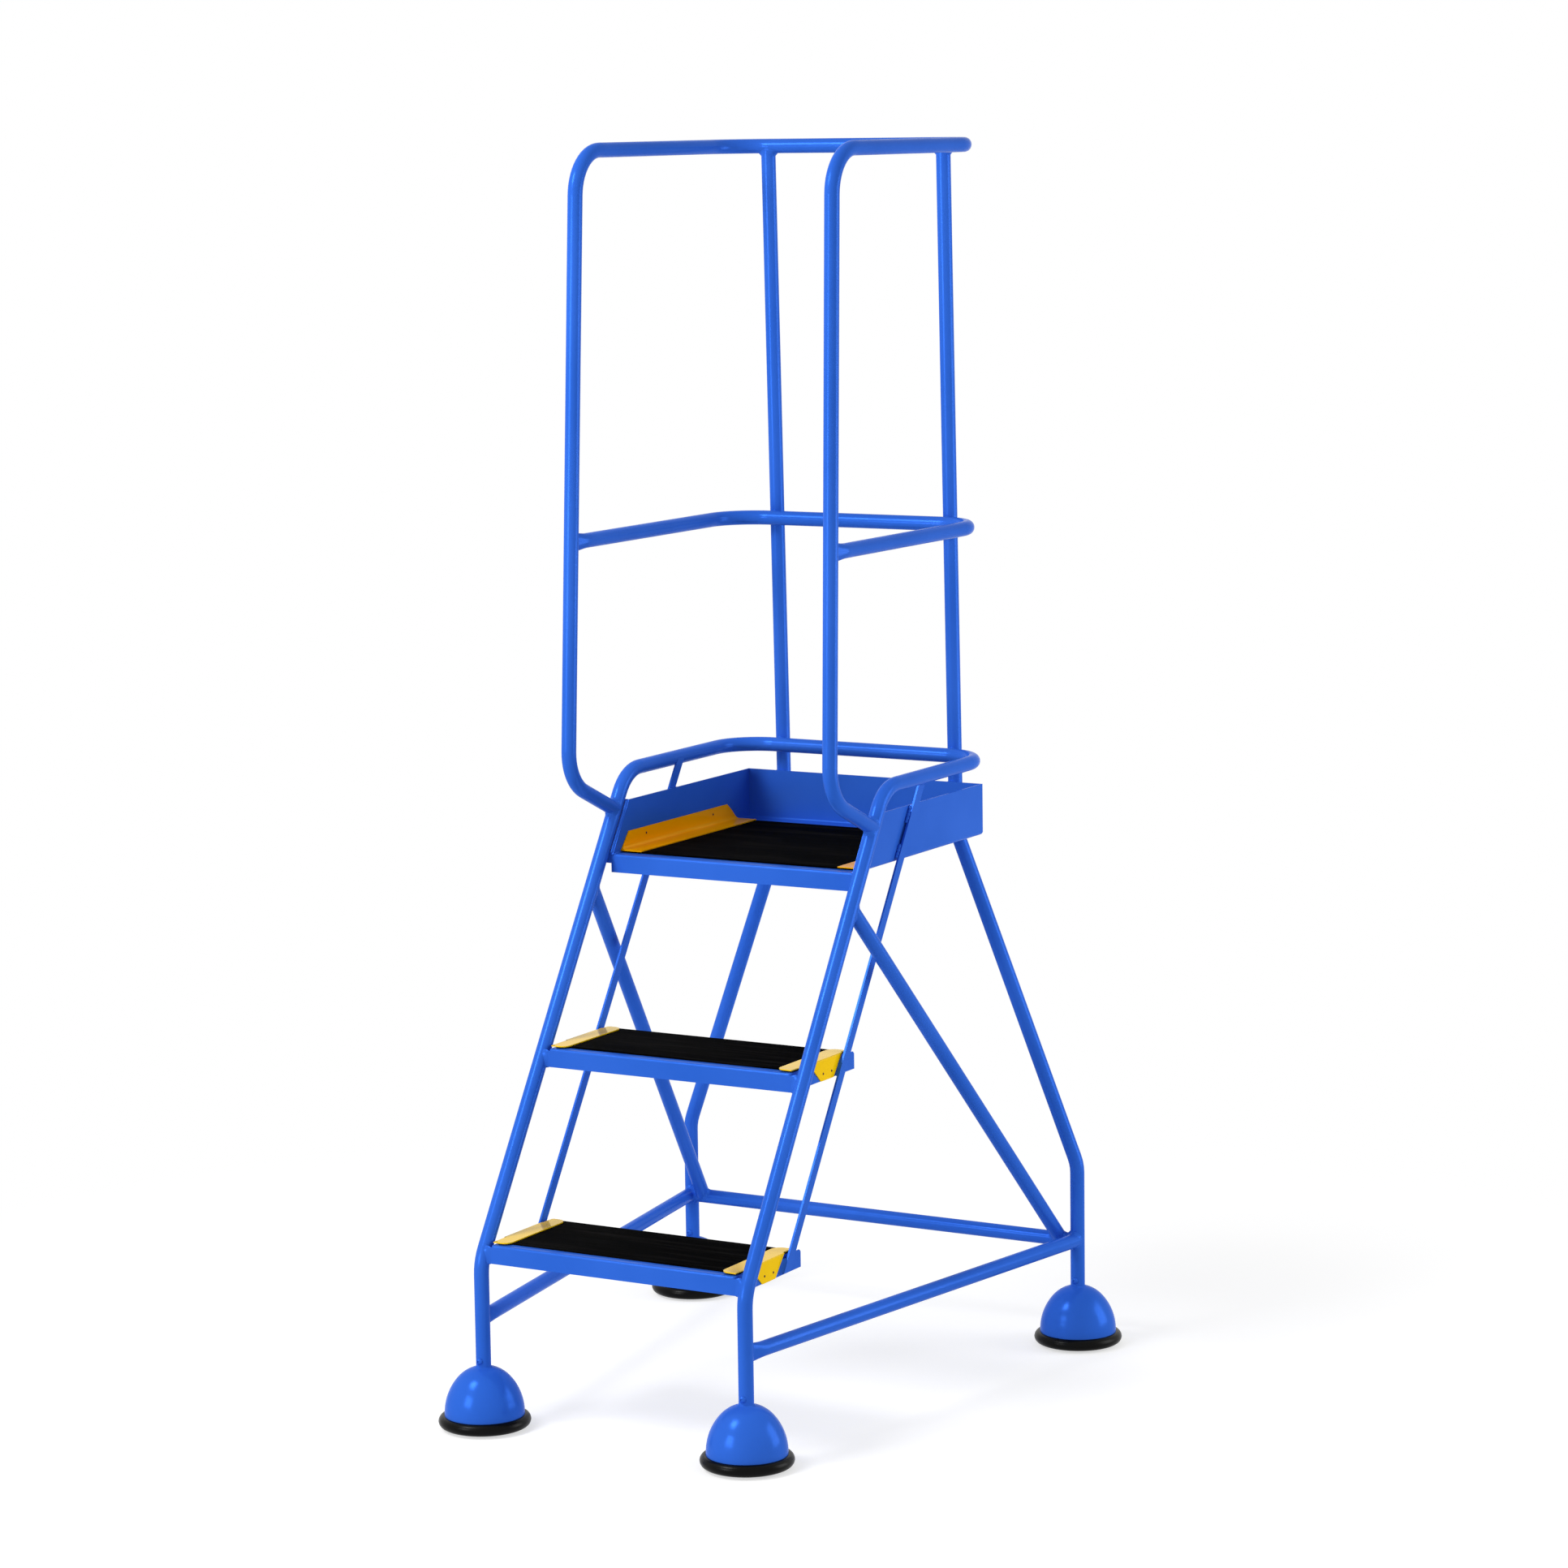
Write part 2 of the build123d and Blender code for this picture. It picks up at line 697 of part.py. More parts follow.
def castor_stem():
    # Turned in one piece: pivot head, pivot, shoulder, sliding stem, piston and spring guide.
    pivot_foot = crown_z - end_play
    stem = cylinder(pivot_head_radius, pivot_foot - pivot_head_height, pivot_foot)
    stem += cylinder(pivot_radius, pivot_foot, shoulder_z)
    stem += cylinder(shoulder_radius, shoulder_z, shoulder_z + shoulder_height)
    stem += cylinder(stem_radius, shoulder_z + shoulder_height, piston_z)
    stem += cylinder(piston_radius, piston_z, piston_z + piston_height)
    return stem + cylinder(guide_radius, piston_z + piston_height, guide_top_z)


def helix_point(radius, turn, low, pitch):
    angle = 2 * pi * turn
    point = Vector(radius * cos(angle), radius * sin(angle), low + pitch * turn)
    heading = Vector(-2 * pi * radius * sin(angle), 2 * pi * radius * cos(angle), pitch)
    return point, heading.normalized()


def castor_spring():
    # A helix made of biarcs, a quarter turn each: two arcs that share a tangent where they join.
    low = piston_z + piston_height + spring_wire / 2 + weld_gap
    high = chamber_top_z - spring_wire / 2 - weld_gap
    pitch = (high - low) / spring_turns
    arcs = []
    for quarter in range(4 * spring_turns):
        start, leaving = helix_point(spring_radius, quarter / 4, low, pitch)
        end, arriving = helix_point(spring_radius, (quarter + 1) / 4, low, pitch)
        chord = end - start
        along = chord.dot(leaving + arriving)
        spread = 2 * (1 - leaving.dot(arriving))
        reach = (sqrt(along**2 + spread * chord.dot(chord)) - along) / spread
        first = start + leaving * reach
        second = end - arriving * reach
        middle = (first + second) / 2
        arcs.append(TangentArc(start, middle, tangent=leaving))
        arcs.append(TangentArc(middle, end, tangent=second - first))
    path = Wire([arc.edge() for arc in arcs])
    start, leaving = helix_point(spring_radius, 0, low, pitch)
    print("castor spring: gap between turns", round(pitch - spring_wire, 2), "mm")
    return sweep(Plane(start, z_dir=leaving) * Circle(spring_wire / 2), path=path)


def castor_fork():
    # A crown plate with a pivot boss, and two cheeks that taper down to the axle.
    outer = fork_inner + fork_sheet
    fork = block((-outer, crown_front, crown_z), (outer, crown_rear, crown_z + crown_thickness))
    fork += cylinder(boss_radius, crown_z, boss_top_z)
    cheek_outline = [
        (crown_front, crown_z + crown_thickness),
        (castor_trail - fork_eye_radius, wheel_radius),
        (castor_trail + fork_eye_radius, wheel_radius),
        (crown_rear, crown_z + crown_thickness),
    ]
    cheek = side_plate(cheek_outline, fork_inner, fork_sheet)
    cheek += cross_pin(fork_eye_radius, fork_inner, outer, castor_trail, wheel_radius)
    fork += cheek + mirror(cheek, about=Plane.YZ)
    fork -= cylinder(pivot_radius + fit_gap, crown_z, boss_top_z)
    return fork - cross_pin(axle_radius + fit_gap, -outer, outer, castor_trail, wheel_radius)


def castor_axle():
    seat = fork_inner + fork_sheet + fit_gap
    pin = cross_pin(axle_radius, -seat, seat, castor_trail, wheel_radius)
    cap = cross_pin(axle_cap_radius, seat, seat + axle_cap_thickness, castor_trail, wheel_radius)
    return pin + cap + mirror(cap, about=Plane.YZ)


def castor_wheel():
    half = wheel_width / 2
    wheel = cross_pin(wheel_radius, -half, half, castor_trail, wheel_radius)
    rims = wheel.edges().filter_by(GeomType.CIRCLE).filter_by(
        lambda e: abs(e.radius - wheel_radius) < fit_gap
    )
    wheel = fillet(rims, wheel_round)
    dish = cross_pin(wheel_dish_radius, half - wheel_dish_depth, half, castor_trail, wheel_radius)
    dish -= cross_pin(hub_radius, half - wheel_dish_depth, half, castor_trail, wheel_radius)
    wheel -= dish
    wheel -= mirror(dish, about=Plane.YZ)
    return wheel - cross_pin(axle_radius + fit_gap, -half, half, castor_trail, wheel_radius)


foot_places = {
    "front_right": (front_leg_x, front_leg_y),
    "front_left": (-front_leg_x, front_leg_y),
    "rear_right": (rear_leg_x, rear_leg_y),
    "rear_left": (-rear_leg_x, rear_leg_y),
}
foot_parts = {
    "dome": dome_shell(),
    "rubber_ring": rubber_ring(),
    "castor_housing": castor_housing(),
    "castor_stem": castor_stem(),
    "castor_spring": castor_spring(),
    "castor_fork": castor_fork(),
    "castor_axle": castor_axle(),
    "castor_wheel": castor_wheel(),
}
for place_name, (x, y) in foot_places.items():
    for part_name, part in foot_parts.items():
        nodes[f"{part_name}_{place_name}"] = Pos(x, y, 0) * part
screw = clamp_screw()
placed_screws = [(Pos(x, y, 0) * screw).solid() for x, y in foot_places.values()]
nodes["clamp_screws"] = Compound(children=placed_screws)

os.makedirs("parts", exist_ok=True)
for node_name, shape in nodes.items():
    export_step(shape, f"parts/{node_name}.step")
print(len(nodes), "nodes")
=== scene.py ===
import json
import math

import bmesh
import bpy
import numpy as np
from mathutils import Matrix, Vector


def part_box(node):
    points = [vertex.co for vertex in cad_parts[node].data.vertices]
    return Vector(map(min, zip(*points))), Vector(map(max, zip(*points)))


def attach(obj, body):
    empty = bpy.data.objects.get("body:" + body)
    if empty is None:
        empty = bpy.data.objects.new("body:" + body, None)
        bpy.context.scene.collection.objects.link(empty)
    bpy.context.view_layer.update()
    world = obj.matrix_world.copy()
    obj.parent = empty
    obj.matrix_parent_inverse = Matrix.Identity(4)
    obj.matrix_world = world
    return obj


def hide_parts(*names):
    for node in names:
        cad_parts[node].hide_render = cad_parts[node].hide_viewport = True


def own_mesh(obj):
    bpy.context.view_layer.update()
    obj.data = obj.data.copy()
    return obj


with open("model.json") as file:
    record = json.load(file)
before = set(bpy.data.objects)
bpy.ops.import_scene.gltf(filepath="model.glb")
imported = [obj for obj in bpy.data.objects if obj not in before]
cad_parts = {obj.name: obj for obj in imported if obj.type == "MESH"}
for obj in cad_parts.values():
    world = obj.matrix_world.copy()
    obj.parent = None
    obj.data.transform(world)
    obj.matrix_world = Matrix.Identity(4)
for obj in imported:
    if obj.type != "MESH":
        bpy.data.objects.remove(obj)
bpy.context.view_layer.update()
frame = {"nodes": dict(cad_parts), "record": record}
nodes = frame["nodes"]
print("frame loaded:", len(nodes), "nodes")

# lengths in metres: X across the steps, Y from front to rear, Z up from the floor
feet = {
    "front_left": (-0.213, -0.3875), "front_right": (0.213, -0.3875),
    "rear_left": (-0.3335, 0.3875), "rear_right": (0.3335, 0.3875),
}
tube = {
    "radius": 0.01065, "bend": 0.065, "touchGap": 0.0002,
    "legX": 0.213, "legY": -0.3875, "bendZ": 0.239, "slope": 0.64,
    "rearX": 0.3335, "rearY": 0.3875, "uprightX": 0.146, "lean": 0.022,
    "topZ": 1.7725, "topX": 0.206, "topFrontY": -0.0925, "topRearY": 0.346,
    "midZ": 1.2225, "midX": 0.2105, "lowZ": 0.8795, "baseZ": 0.158, "crossY": 0.3815,
    "postFootY": -0.1345, "postFootZ": 0.882, "handrailJointZ": 0.826,
    "braceTopZ": 0.722, "braceFootX": 0.309,
    "crushedWide": 0.009, "crushedTall": 0.028, "crushedLength": 0.04,
}


# each vector divided by its own length
def unit(v):
    return v / np.linalg.norm(v, axis=-1, keepdims=True)


# evenly spaced angles once round
def fullTurn(count):
    return np.linspace(0, 2 * np.pi, count, endpoint=False)


# a curve that leaves the start, is pulled towards the middle and arrives at the end
def pulledCurve(share, start, middle, end):
    return (1 - share) ** 2 * start + 2 * share * (1 - share) * middle + share ** 2 * end


# a straight line up the slope from the bend above the front foot
def stringerY(z):
    return tube["legY"] + (z - tube["bendZ"]) * tube["slope"]


# the leg's own line: upright, then an arc of the bend radius, then the slope
def legAxisY(z):
    bend, bendZ = tube["bend"], tube["bendZ"]
    lean = math.atan(tube["slope"])
    reach = bend * math.tan(lean / 2)
    low = bendZ - reach
    turn = bend - np.sqrt(np.maximum(bend ** 2 - np.maximum(z - low, 0) ** 2, 0))
    bentY = np.where(z < bendZ + reach * math.cos(lean), tube["legY"] + turn, stringerY(z))
    return np.where(z < low, tube["legY"], bentY)


# a straight line that leans back a little towards the floor
def uprightY(z):
    return tube["topRearY"] + (tube["topZ"] - z) * tube["lean"]


# one array of points from three that may be plain numbers, rows, columns or whole grids
def gridPoints(x, y, z):
    return np.stack(np.broadcast_arrays(x, y, z), -1)


# each row of points is a closed loop, and quads join it to the next row; the last row joins the
# first, or one flat face closes each end loop, or the end loops shrink to a point and need none
def gridPart(points, closeRows=False, capEnds=False):
    rows, columns = points.shape[:2]
    r = np.arange(rows if closeRows else rows - 1)[:, None]
    c = np.arange(columns)[None, :]
    nextRow, nextColumn = (r + 1) % rows, (c + 1) % columns
    corners = [r * columns + c, r * columns + nextColumn,
               nextRow * columns + nextColumn, nextRow * columns + c]
    faces = [np.stack(np.broadcast_arrays(*corners), -1).reshape(-1, 4)]
    if capEnds:
        cap = np.arange(columns)[None, :]
        faces += [cap, cap + (rows - 1) * columns]
    return points.reshape(-1, 3), faces


# a closed profile of radii and heights turned about an upright axis
def turnedPart(x, y, r, z, around):
    turn = fullTurn(around)[:, None]
    points = gridPoints(x + r * np.cos(turn), y + r * np.sin(turn), z)
    return gridPart(points, closeRows=True)


# the parts, and the same parts with X reversed
def bothSides(parts):
    return parts + [(points * np.array([-1.0, 1.0, 1.0]), faces) for points, faces in parts]


joining = {"mergeWithin": 1e-6, "dropUnder": 1e-7, "sharpDegrees": 38}


# several parts become one mesh object at the origin; doubled points are merged, faces turned out
def makePiece(name, parts, material, sharpDegrees=joining["sharpDegrees"]):
    points, faces, start = [], [], 0
    for partPoints, partFaces in parts:
        points.append(partPoints)
        for block in partFaces:
            faces += (block + start).tolist()
        start += len(partPoints)
    mesh = bpy.data.meshes.new(name)
    mesh.from_pydata(np.concatenate(points).tolist(), [], faces)
    editing = bmesh.new()
    editing.from_mesh(mesh)
    bmesh.ops.remove_doubles(editing, verts=editing.verts, dist=joining["mergeWithin"])
    bmesh.ops.dissolve_degenerate(editing, edges=editing.edges, dist=joining["dropUnder"])
    bmesh.ops.recalc_face_normals(editing, faces=editing.faces)
    editing.to_mesh(mesh)
    editing.free()
    mesh.shade_smooth()
    mesh.set_sharp_from_angle(angle=math.radians(sharpDegrees))
    mesh.materials.append(material)
    piece = bpy.data.objects.new(name, mesh)
    bpy.context.scene.collection.objects.link(piece)
    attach(piece, "frame")
    return piece


# materials; a cloud's values mostly lie within this span
cloudSpan = (0.3, 0.7)


# screen levels of 0 to 255 as linear colour, by the sRGB formula
def colour(red, green, blue):
    share = np.array([red, green, blue]) / 255
    linear = np.where(share <= 0.04045, share / 12.92, ((share + 0.055) / 1.055) ** 2.4)
    return (*linear.tolist(), 1.0)


def objectPlace(tree):
    return tree.nodes.new("ShaderNodeTexCoord").outputs["Object"]


def startMaterial(name, sockets):
    material = bpy.data.materials.new(name)
    material.use_nodes = True
    tree = material.node_tree
    shader = tree.nodes["Principled BSDF"]
    for socket, value in sockets.items():
        shader.inputs[socket].default_value = value
    return material, tree, shader, objectPlace(tree)


def stretchedPlace(tree, place, scale):
    mapping = tree.nodes.new("ShaderNodeMapping")
    mapping.inputs["Scale"].default_value = scale
    tree.links.new(place, mapping.inputs["Vector"])
    return mapping.outputs["Vector"]


def cloud(tree, place, scale, detail):
    texture = tree.nodes.new("ShaderNodeTexNoise")
    texture.inputs["Scale"].default_value = scale
    texture.inputs["Detail"].default_value = detail
    tree.links.new(place, texture.inputs["Vector"])
    return texture.outputs["Fac"]


def toneRamp(tree, value, span, dark, light):
    ramp = tree.nodes.new("ShaderNodeValToRGB")
    for element, position, tone in zip(ramp.color_ramp.elements, span, (dark, light)):
        element.position = position
        element.color = colour(*tone)
    tree.links.new(value, ramp.inputs["Fac"])
    return ramp.outputs["Color"]


def between(tree, value, low, high, fromSpan=cloudSpan):
    span = tree.nodes.new("ShaderNodeMapRange")
    span.inputs["From Min"].default_value, span.inputs["From Max"].default_value = fromSpan
    span.inputs["To Min"].default_value = low
    span.inputs["To Max"].default_value = high
    tree.links.new(value, span.inputs["Value"])
    return span.outputs["Result"]


def mathNode(tree, operation, *values):
    node = tree.nodes.new("ShaderNodeMath")
    node.operation = operation
    for index, value in enumerate(values):
        if isinstance(value, float):
            node.inputs[index].default_value = value
        else:
            tree.links.new(value, node.inputs[index])
    return node.outputs[0]


def relief(tree, shader, height, strength, distance):
    bump = tree.nodes.new("ShaderNodeBump")
    bump.inputs["Strength"].default_value = strength
    bump.inputs["Distance"].default_value = distance
    tree.links.new(height, bump.inputs["Height"])
    tree.links.new(bump.outputs["Normal"], shader.inputs["Normal"])


paint = {
    "toneScale": 5.0, "toneDetail": 3.0, "toneSpan": (0.35, 0.65),
    "glossScale": 30.0, "glossDetail": 4.0,
    "peelScale": 420.0, "peelDetail": 1.0, "peel": 0.02, "peelDepth": 0.0002,
    "topRise": 0.25, "topHeight": 0.0168, "topBand": 0.0009, "topShine": 0.3,
    "coats": {
        "bluePaint": {
            "tones": ((43, 97, 203), (50, 104, 212)), "gloss": (0.18, 0.27),
            "shine": 0.03, "metal": 0.12, "tint": (0.35, 0.6, 1.0, 1.0),
        },
        "yellowPaint": {
            "tones": ((247, 199, 0), (252, 207, 3)), "gloss": (0.07, 0.13),
            "shine": 0.03, "metal": 0.1, "tint": (1.0, 0.75, 0.15, 1.0),
        },
        # painted shade: the guards carry the clips' yellow paint, and this copy of it is shifted to
        # orange for how the guards look where they stand in shade
        "guardShadedYellow": {
            "tones": ((255, 174, 0), (255, 182, 2)), "gloss": (0.07, 0.13),
            "shine": 0.03, "metal": 0.1, "tint": (1.0, 0.75, 0.15, 1.0),
        },
    },
}


# two close tones drift over the paint, its gloss drifts too, and fine waves stand for orange peel
def paintMaterial(name):
    coat = paint["coats"][name]
    material, tree, shader, place = startMaterial(name, {
        "Specular IOR Level": coat["shine"], "Specular Tint": coat["tint"],
        "Metallic": coat["metal"],
    })
    drift = cloud(tree, place, paint["toneScale"], paint["toneDetail"])
    tone = toneRamp(tree, drift, paint["toneSpan"], *coat["tones"])
    tree.links.new(tone, shader.inputs["Base Color"])
    gloss = cloud(tree, place, paint["glossScale"], paint["glossDetail"])
    tree.links.new(between(tree, gloss, *coat["gloss"]), shader.inputs["Roughness"])
    peel = cloud(tree, place, paint["peelScale"], paint["peelDetail"])
    relief(tree, shader, peel, paint["peel"], paint["peelDepth"])
    return material


bluePaint, yellowPaint, guardShadedYellow = [paintMaterial(name) for name in paint["coats"]]


# shoes rub the clips' flat tops glossier; they lie at the same height above every rise
def polishTops(material):
    tree = material.node_tree
    split = tree.nodes.new("ShaderNodeSeparateXYZ")
    tree.links.new(objectPlace(tree), split.inputs[0])
    height = mathNode(tree, "MODULO", split.outputs["Z"], paint["topRise"])
    onTop = mathNode(tree, "COMPARE", height, paint["topHeight"], paint["topBand"])
    plainShine = paint["coats"][material.name]["shine"]
    shine = between(tree, onTop, plainShine, paint["topShine"], (0.0, 1.0))
    tree.links.new(shine, tree.nodes["Principled BSDF"].inputs["Specular IOR Level"])


polishTops(yellowPaint)

rubber = {
    "hazeDetail": 5.0, "hazeSpan": (0.48, 0.78),
    "grainDetail": 2.0, "grain": 0.25, "grainDepth": 0.0002,
    "kinds": {
        "matRubber": {
            "tones": ((0, 0, 0), (24, 23, 22)), "gloss": (0.7, 0.88), "shine": 0.01,
            "grainScale": 1400.0, "hazeScale": 110.0, "streak": (0.06, 1.0, 1.0),
        },
        "ringRubber": {
            "tones": ((3, 3, 2), (12, 11, 9)), "gloss": (0.24, 0.36), "shine": 0.09,
            "grainScale": 900.0, "hazeScale": 22.0, "streak": (1.0, 1.0, 1.0),
        },
    },
}


# black rubber with a fine moulded grain and a little grey bloom, drawn out into streaks on the mats
def rubberMaterial(name):
    kind = rubber["kinds"][name]
    material, tree, shader, place = startMaterial(name, {"Specular IOR Level": kind["shine"]})
    streaks = stretchedPlace(tree, place, kind["streak"])
    haze = cloud(tree, streaks, kind["hazeScale"], rubber["hazeDetail"])
    tone = toneRamp(tree, haze, rubber["hazeSpan"], *kind["tones"])
    tree.links.new(tone, shader.inputs["Base Color"])
    tree.links.new(between(tree, haze, *kind["gloss"]), shader.inputs["Roughness"])
    grain = cloud(tree, place, kind["grainScale"], rubber["grainDetail"])
    relief(tree, shader, grain, rubber["grain"], rubber["grainDepth"])
    return material


matRubber, ringRubber = [rubberMaterial(name) for name in rubber["kinds"]]

plated = {
    "toneScale": 45.0, "toneDetail": 4.0, "toneSpan": (0.35, 0.65),
    "scratchStretch": (1.0, 1.0, 14.0), "scratchScale": 220.0, "scratchDetail": 3.0,
    "scratch": 0.08, "scratchDepth": 0.0001,
    "kinds": {
        "zincSteel": {
            "tones": ((176, 180, 184), (206, 208, 209)), "gloss": (0.26, 0.42), "metal": 1.0,
        },
        "rivetSteel": {
            "tones": ((58, 28, 10), (84, 44, 20)), "gloss": (0.4, 0.55), "metal": 0.5,
        },
    },
}


# plated steel, bright or brown: broad cloudy tone, and fine scratches stretched along one direction
def platedMaterial(name):
    kind = plated["kinds"][name]
    material, tree, shader, place = startMaterial(name, {"Metallic": kind["metal"]})
    drift = cloud(tree, place, plated["toneScale"], plated["toneDetail"])
    tone = toneRamp(tree, drift, plated["toneSpan"], *kind["tones"])
    tree.links.new(tone, shader.inputs["Base Color"])
    stretched = stretchedPlace(tree, place, plated["scratchStretch"])
    scratches = cloud(tree, stretched, plated["scratchScale"], plated["scratchDetail"])
    tree.links.new(between(tree, scratches, *kind["gloss"]), shader.inputs["Roughness"])
    relief(tree, shader, scratches, plated["scratch"], plated["scratchDepth"])
    return material


zincSteel, rivetSteel = [platedMaterial(name) for name in plated["kinds"]]

nylon = {
    "ior": 1.53, "tones": ((138, 140, 142), (152, 154, 155)), "toneSpan": (0.35, 0.7),
    "hazeScale": 60.0, "hazeDetail": 4.0, "gloss": (0.38, 0.5),
    "grainScale": 1100.0, "grainDetail": 2.0, "grain": 0.15, "grainDepth": 0.0002,
}


# grey nylon: tone and gloss drift together under a fine moulded grain
def nylonMaterial():
    material, tree, shader, place = startMaterial("greyNylon", {"IOR": nylon["ior"]})
    haze = cloud(tree, place, nylon["hazeScale"], nylon["hazeDetail"])
    tone = toneRamp(tree, haze, nylon["toneSpan"], *nylon["tones"])
    tree.links.new(tone, shader.inputs["Base Color"])
    tree.links.new(between(tree, haze, *nylon["gloss"]), shader.inputs["Roughness"])
    grain = cloud(tree, place, nylon["grainScale"], nylon["grainDetail"])
    relief(tree, shader, grain, nylon["grain"], nylon["grainDepth"])
    return material


slotMaterial = {
    "blue_paint": bluePaint, "yellow_paint": yellowPaint, "rivet_steel": rivetSteel,
    "black_mat": matRubber, "black_rubber": ringRubber, "zinc_steel": zincSteel,
    "grey_nylon": nylonMaterial(),
}
for part in frame["record"]["subparts"]:
    mesh = nodes[part["node"]].data
    mesh.materials.clear()
    # the guards take the orange copy of the yellow paint, a painted shade tone
    onGuard = part["node"].startswith("platform_guard")
    mesh.materials.append(guardShadedYellow if onGuard else slotMaterial[part["material_slot"]])
print("materials made")

# ribbed mats; a groove's line is given in shares of its width and of its depth
mats = {
    "pitch": 0.0032, "grooveShare": 0.38, "grooveDepth": 0.0009, "flatPoints": 2,
    "grooveAlong": (0.0, 0.1, 0.32, 0.5, 0.68, 0.9),
    "grooveDrop": (0.0, 0.12, 0.95, 1.0, 0.95, 0.12),
    "edgeRound": 0.0007, "edgeShare": 0.3, "sharpDegrees": 30,
    "pieces": {
        "treadMat1": "tread_mat_1", "treadMat2": "tread_mat_2", "platformMat": "platform_mat",
    },
}


# the cross-section is a row of flat ribs with rounded shoulders, closed underneath; it is carried
# across in X, and the last stations draw in and down to round the ends
def ribbedMat(low, high):
    ribs = int((high[1] - low[1]) // mats["pitch"])
    pitch = (high[1] - low[1]) / ribs
    share, edge = mats["grooveShare"], mats["edgeRound"]
    mid = mats["edgeShare"] * edge
    flat = np.linspace(share, 1.0, mats["flatPoints"], endpoint=False)
    along = np.concatenate([np.array(mats["grooveAlong"]) * share, flat])
    drop = np.concatenate([np.array(mats["grooveDrop"]) * mats["grooveDepth"], np.zeros(len(flat))])
    y = (low[1] + (np.arange(ribs)[:, None] + along) * pitch).ravel()
    z = high[2] - np.tile(drop, ribs)
    keep = y > low[1] + share * pitch
    frontY, frontZ = [low[1], low[1], low[1] + mid], [low[2], high[2] - edge, high[2] - mid]
    rearY, rearZ = [high[1] - mid, high[1], high[1]], [high[2] - mid, high[2] - edge, low[2]]
    y = np.concatenate([frontY, y[keep], rearY])
    z = np.concatenate([frontZ, z[keep], rearZ])
    x = np.array([low[0], low[0] + mid, low[0] + edge, high[0] - edge, high[0] - mid, high[0]])
    sink = np.array([edge, mid, 0.0, 0.0, mid, edge])
    top = np.maximum(z - sink[:, None] * (z > low[2] + edge), low[2])
    return gridPart(gridPoints(x[:, None], y, top), capEnds=True)


for name, node in mats["pieces"].items():
    low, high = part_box(node)
    piece = makePiece(name, [ribbedMat(low, high)], matRubber, mats["sharpDegrees"])
    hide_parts(node)
print("mats ribbed")

# castor springs
spring = {
    "radius": 0.005, "wire": 0.0008, "turns": 9.0, "slowTurns": 1.0, "leastClimb": 0.35,
    "steps": 560, "sides": 14, "topZ": 0.146, "travel": 0.005,
}


# a circle carried along a helix that climbs more slowly in its first and last turn
def springPart(x, y, low, high):
    turn = np.linspace(0, spring["turns"], spring["steps"])
    fromEnd = np.minimum(turn, spring["turns"] - turn)
    climb = np.clip(fromEnd / spring["slowTurns"], spring["leastClimb"], 1.0)
    rise = np.concatenate([[0.0], np.cumsum((climb[1:] + climb[:-1]) / 2)])
    wire = spring["wire"]
    z = low + wire + rise / rise[-1] * (high - low - 2 * wire)
    angle = 2 * np.pi * turn
    outward = gridPoints(np.cos(angle), np.sin(angle), 0.0)
    centre = gridPoints(x, y, z) + spring["radius"] * outward
    heading = unit(np.gradient(centre, axis=0))
    side = unit(np.cross(heading, outward))
    outward = np.cross(side, heading)
    around = fullTurn(spring["sides"])[None, :, None]
    spokes = outward[:, None] * np.cos(around) + side[:, None] * np.sin(around)
    return gridPart(centre[:, None] + wire * spokes, capEnds=True)


for place, (x, y) in feet.items():
    node = "castor_spring_" + place
    low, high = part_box(node)
    coil = springPart(x, y, low[2], high[2])
    piece = makePiece("castorSpring_" + place, [coil], zincSteel)
    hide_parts(node)
    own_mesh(piece)
print("springs wound")

# rubber rings
ring = {
    "radius": 0.0566, "section": 0.0084, "lift": 0.003,
    "grooveIn": 0.05435, "grooveOut": 0.05645, "grooveZ": 0.0095,
    "seamHeight": 0.00022, "seamWidth": 0.06, "around": 144, "sides": 56,
}


# a circle turned about the foot's axis, with a slot for the dome's edge and a mould seam outside
def ringPart(x, y):
    slotOut = math.acos((ring["grooveOut"] - ring["radius"]) / ring["section"])
    slotIn = math.acos((ring["grooveIn"] - ring["radius"]) / ring["section"])
    angle = np.linspace(slotIn, slotOut + 2 * np.pi, ring["sides"])
    seam = ring["seamHeight"] * np.exp(-((angle - 2 * np.pi) / ring["seamWidth"]) ** 2)
    r = ring["radius"] + (ring["section"] + seam) * np.cos(angle)
    z = ring["lift"] + ring["section"] + (ring["section"] + seam) * np.sin(angle)
    r = np.append(r, [ring["grooveOut"], ring["grooveIn"]])
    z = np.append(z, [ring["grooveZ"], ring["grooveZ"]])
    return turnedPart(x, y, r, z, ring["around"])


for place, (x, y) in feet.items():
    piece = makePiece("footRing_" + place, [ringPart(x, y)], ringRubber)
    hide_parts("rubber_ring_" + place)
print("rings moulded")

# welds, painted over
weld = {
    "leg": 0.0042, "wideLeg": 0.0055, "crushedLeg": 0.003, "fullness": 0.72,
    "ripple": 0.00016, "ripplePitch": 0.0026, "sink": 0.0003, "rootBack": 0.0012, "liftBack": 0.004,
    "around": 160, "across": 9, "uprightUnder": 0.1, "searchReach": 0.08, "searchSteps": 40,
    "sharpDegrees": 60,
}


# a weld is painted with the frame
def weldPiece(name, parts):
    makePiece(name, parts, bluePaint, weld["sharpDegrees"])


